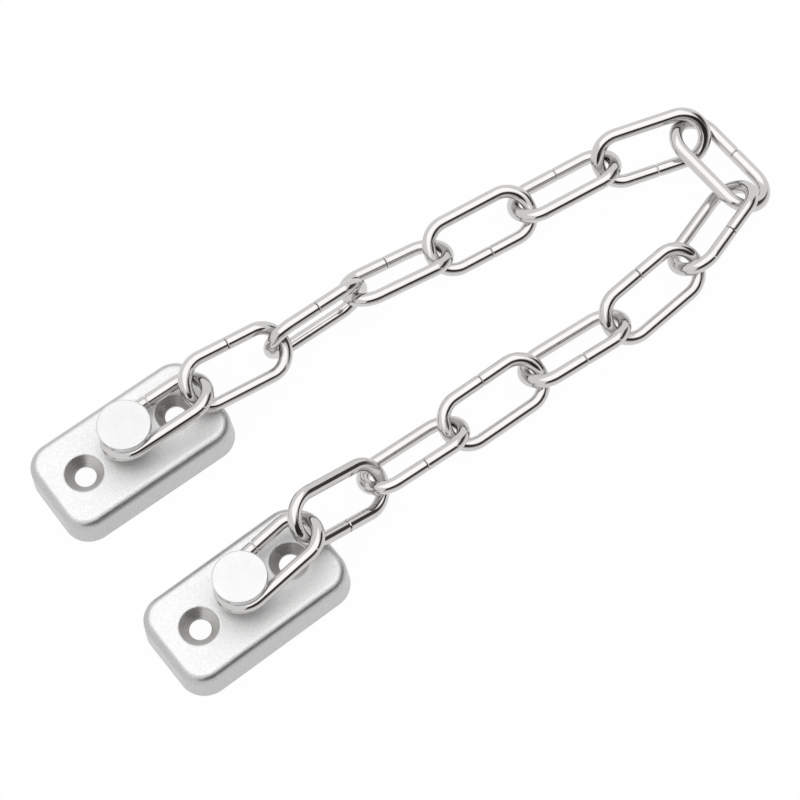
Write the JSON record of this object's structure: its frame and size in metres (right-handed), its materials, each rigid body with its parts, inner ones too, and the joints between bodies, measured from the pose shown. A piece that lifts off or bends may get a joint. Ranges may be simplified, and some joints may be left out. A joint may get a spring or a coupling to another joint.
{
  "type": "window chain lock",
  "caption": "Window chain lock: two hollow-backed steel screw-on plates with mushroom studs, joined by a polished wire-link chain that turns on the studs.",
  "frame": {"origin": "middle of the frame plate's back, on the surface that the plate lies on", "axes": "+X along the frame plate towards the chain, +Z out of the plate's face"},
  "size_m": [0.2003, 0.0791, 0.0223],
  "materials": {
    "plate_steel": "satin",
    "stud_steel": "turned",
    "link_steel": "polished"
  },
  "bodies": {
    "frame_side": {"frame_plate": "plate_steel", "frame_stud": "stud_steel"},
    "link_01": {"chain_link_01": "link_steel"},
    "link_02": {"chain_link_02": "link_steel"},
    "link_03": {"chain_link_03": "link_steel"},
    "link_04": {"chain_link_04": "link_steel"},
    "link_05": {"chain_link_05": "link_steel"},
    "link_06": {"chain_link_06": "link_steel"},
    "link_07": {"chain_link_07": "link_steel"},
    "link_08": {"chain_link_08": "link_steel"},
    "link_09": {"chain_link_09": "link_steel"},
    "link_10": {"chain_link_10": "link_steel"},
    "link_11": {"chain_link_11": "link_steel"},
    "link_12": {"chain_link_12": "link_steel"},
    "link_13": {"chain_link_13": "link_steel"},
    "link_14": {"chain_link_14": "link_steel"},
    "link_15": {"chain_link_15": "link_steel"},
    "sash_side": {"sash_plate": "plate_steel", "sash_stud": "stud_steel"}
  },
  "joints": [
    {"name": "frame_stud_turn", "type": "hinge", "parent": "frame_side", "child": "link_01", "pos_m": [0, 0, 0.014], "axis": [0, 0, 1], "continuous": true},
    {"name": "link_02_swing", "type": "hinge", "parent": "link_01", "child": "link_02", "pos_m": [0.02461, -0.0006, 0.01453], "axis": [0.1362, -0.5787, 0.8041], "range_deg": [-10, 75]},
    {"name": "link_03_swing", "type": "hinge", "parent": "link_02", "child": "link_03", "pos_m": [0.04903, -0.00084, 0.01039], "axis": [0.0257, -0.9959, -0.0867], "range_deg": [-75, 75]},
    {"name": "link_04_swing", "type": "hinge", "parent": "link_03", "child": "link_04", "pos_m": [0.07366, -0.00054, 0.00803], "axis": [-0.1636, -0.4876, -0.8576], "range_deg": [-75, 20]},
    {"name": "link_05_swing", "type": "hinge", "parent": "link_04", "child": "link_05", "pos_m": [0.09834, -0.00285, 0.00525], "axis": [0.0776, 0.5094, -0.857], "range_deg": [-75, 20]},
    {"name": "link_06_swing", "type": "hinge", "parent": "link_05", "child": "link_06", "pos_m": [0.12303, -0.00596, 0.00583], "axis": [0.0196, 0.4713, 0.8817], "range_deg": [-10, 75]},
    {"name": "link_07_swing", "type": "hinge", "parent": "link_06", "child": "link_07", "pos_m": [0.14746, -0.0099, 0.00703], "axis": [-0.28, -0.6644, 0.693], "range_deg": [-10, 75]},
    {"name": "link_08_swing", "type": "hinge", "parent": "link_07", "child": "link_08", "pos_m": [0.1656, -0.01874, 0.00782], "axis": [-0.4249, 0.1234, -0.8968], "range_deg": [-75, 5]},
    {"name": "link_09_swing", "type": "hinge", "parent": "link_08", "child": "link_09", "pos_m": [0.16125, -0.0375, 0.00599], "axis": [0.1641, -0.5354, -0.8285], "range_deg": [-75, 10]},
    {"name": "link_10_swing", "type": "hinge", "parent": "link_09", "child": "link_10", "pos_m": [0.138, -0.04512, 0.00669], "axis": [0.009, -0.5892, 0.8079], "range_deg": [-10, 75]},
    {"name": "link_11_swing", "type": "hinge", "parent": "link_10", "child": "link_11", "pos_m": [0.1132, -0.04629, 0.00568], "axis": [0.0061, 0.5159, 0.8566], "range_deg": [-10, 75]},
    {"name": "link_12_swing", "type": "hinge", "parent": "link_11", "child": "link_12", "pos_m": [0.08825, -0.04519, 0.00517], "axis": [0, 0.5299, -0.848], "range_deg": [-75, 20]},
    {"name": "link_13_swing", "type": "hinge", "parent": "link_12", "child": "link_13", "pos_m": [0.06327, -0.04519, 0.00548], "axis": [-0.0585, -0.5446, -0.8366], "range_deg": [-75, 30]},
    {"name": "link_14_swing", "type": "hinge", "parent": "link_13", "child": "link_14", "pos_m": [0.03903, -0.04649, 0.0093], "axis": [0.3558, -0.6535, 0.6681], "range_deg": [-50, 75]},
    {"name": "link_15_swing", "type": "hinge", "parent": "link_14", "child": "link_15", "pos_m": [0.01656, -0.04973, 0.01578], "axis": [-0.1389, 0.2307, 0.9631], "range_deg": [-10, 30]},
    {"name": "sash_stud_turn", "type": "hinge", "parent": "link_15", "child": "sash_side", "pos_m": [-0.00012, -0.05119, 0.014], "axis": [0, 0, 1], "continuous": true}
  ]
}
